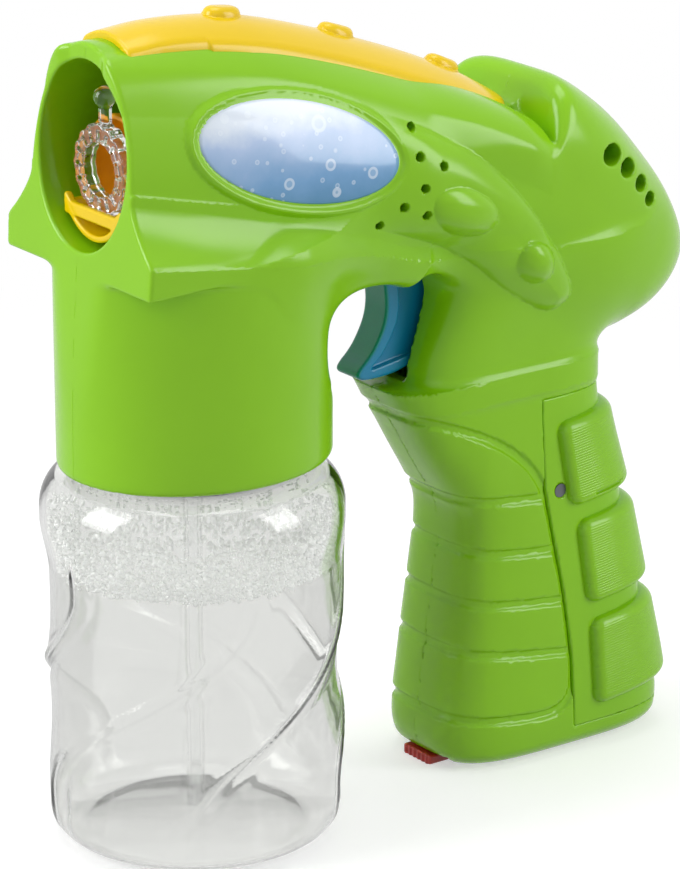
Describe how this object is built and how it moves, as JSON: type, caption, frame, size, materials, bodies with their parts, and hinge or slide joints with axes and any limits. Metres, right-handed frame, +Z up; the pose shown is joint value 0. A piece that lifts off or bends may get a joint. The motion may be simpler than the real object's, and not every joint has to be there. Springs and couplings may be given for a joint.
{
  "type": "toy bubble blower",
  "caption": "Battery bubble gun with a clamshell body, screw-on bottle, finger trigger, geared hose pump and blower that sends air through a grooved ring in the nose.",
  "frame": {"origin": "centre of the bottle's foot on the floor", "axes": "+Z up along the bottle's axis, -X towards the nose, +Y to the gun's right"},
  "size_m": [0.1565, 0.0632, 0.1751],
  "materials": {
    "green_plastic": "glossy moulded, lime green",
    "yellow_plastic": "glossy moulded, warm yellow",
    "badge_print": "printed film under a clear coat",
    "blue_plastic": "glossy moulded, blue",
    "steel": "plated",
    "black_plastic": "fine matte",
    "clear_plastic": "clear, polished; a light clear plastic",
    "clear_hose": "translucent silicone",
    "white_plastic": "satin",
    "gasket": "matt",
    "liquid": "clear soapy water",
    "foam_white": "fine bubbles",
    "board": "solder-mask green",
    "cell_wrap": "shrink wrap",
    "red_plastic": "glossy moulded, red"
  },
  "bodies": {
    "body": {"housing_left": "green_plastic", "housing_right": "green_plastic", "top_rail": "yellow_plastic", "badge_left": "badge_print", "badge_right": "badge_print", "trigger_pin": "steel", "trigger_spring": "steel", "trigger_switch": "black_plastic", "bubble_ring": "clear_plastic", "drip_tray": "yellow_plastic", "air_duct": "white_plastic", "fan_housing": "white_plastic", "fan_cover": "white_plastic", "motor": "steel", "idler_axle": "steel", "pump_housing": "white_plastic", "pump_tube": "clear_hose", "gear_plate": "black_plastic", "feed_tube": "clear_hose", "suction_tube": "clear_hose", "dip_tube": "clear_plastic", "bottle_socket": "white_plastic", "speaker": "black_plastic", "sound_board": "board", "battery_cells": "cell_wrap", "battery_contacts": "steel", "power_switch": "black_plastic", "case_screws": "steel", "plate_screws": "steel"},
    "trigger": {"trigger": "blue_plastic"},
    "rotor": {"motor_shaft": "steel", "motor_pinion": "yellow_plastic", "impeller": "white_plastic"},
    "idler": {"idler_gear": "white_plastic"},
    "pump": {"pump_gear": "white_plastic", "pump_rotor": "blue_plastic", "pump_rollers": "white_plastic"},
    "slider": {"power_slider": "red_plastic"},
    "door": {"battery_door": "green_plastic", "door_screw": "steel"},
    "gasket": {"bottle_gasket": "gasket"},
    "bottle": {"bottle": "clear_plastic", "bubble_liquid": "liquid", "foam": "foam_white"}
  },
  "joints": [
    {"name": "trigger_pull", "type": "hinge", "parent": "body", "child": "trigger", "pos_m": [0.0525, 0, 0.1204], "axis": [0, -1, 0], "range_deg": [0, 9], "stiffness_Nm_per_rad": 0.35, "springref_deg": -20.05, "deforming": ["trigger_spring"]},
    {"name": "fan_spin", "type": "hinge", "parent": "body", "child": "rotor", "pos_m": [0.09, 0, 0.121], "axis": [0, 1, 0], "continuous": true},
    {"name": "idler_spin", "type": "hinge", "parent": "body", "child": "idler", "pos_m": [0.08048, 0, 0.12925], "axis": [0, 1, 0], "continuous": true},
    {"name": "pump_spin", "type": "hinge", "parent": "body", "child": "pump", "pos_m": [0.068, 0, 0.131], "axis": [0, 1, 0], "continuous": true},
    {"name": "power_slide", "type": "slide", "parent": "body", "child": "slider", "axis": [0, -1, 0], "range_m": [0, 0.003]},
    {"name": "door_swing", "type": "hinge", "parent": "body", "child": "door", "pos_m": [0.1182, 0, 0.007], "axis": [0, 1, 0], "range_deg": [0, 70]},
    {"name": "bottle_travel", "type": "slide", "parent": "body", "child": "gasket", "axis": [0, 0, 1], "range_m": [-0.006, 0]},
    {"name": "bottle_turn", "type": "hinge", "parent": "gasket", "child": "bottle", "pos_m": [0, 0, 0], "axis": [0, 0, 1], "range_deg": [-540, 0]}
  ],
  "couplings": [
    {"joint": "idler_spin", "follows": "fan_spin", "ratio": -0.3125},
    {"joint": "pump_spin", "follows": "fan_spin", "ratio": 0.125},
    {"joint": "bottle_turn", "follows": "bottle_travel", "rad_per_m": 1570.8}
  ]
}
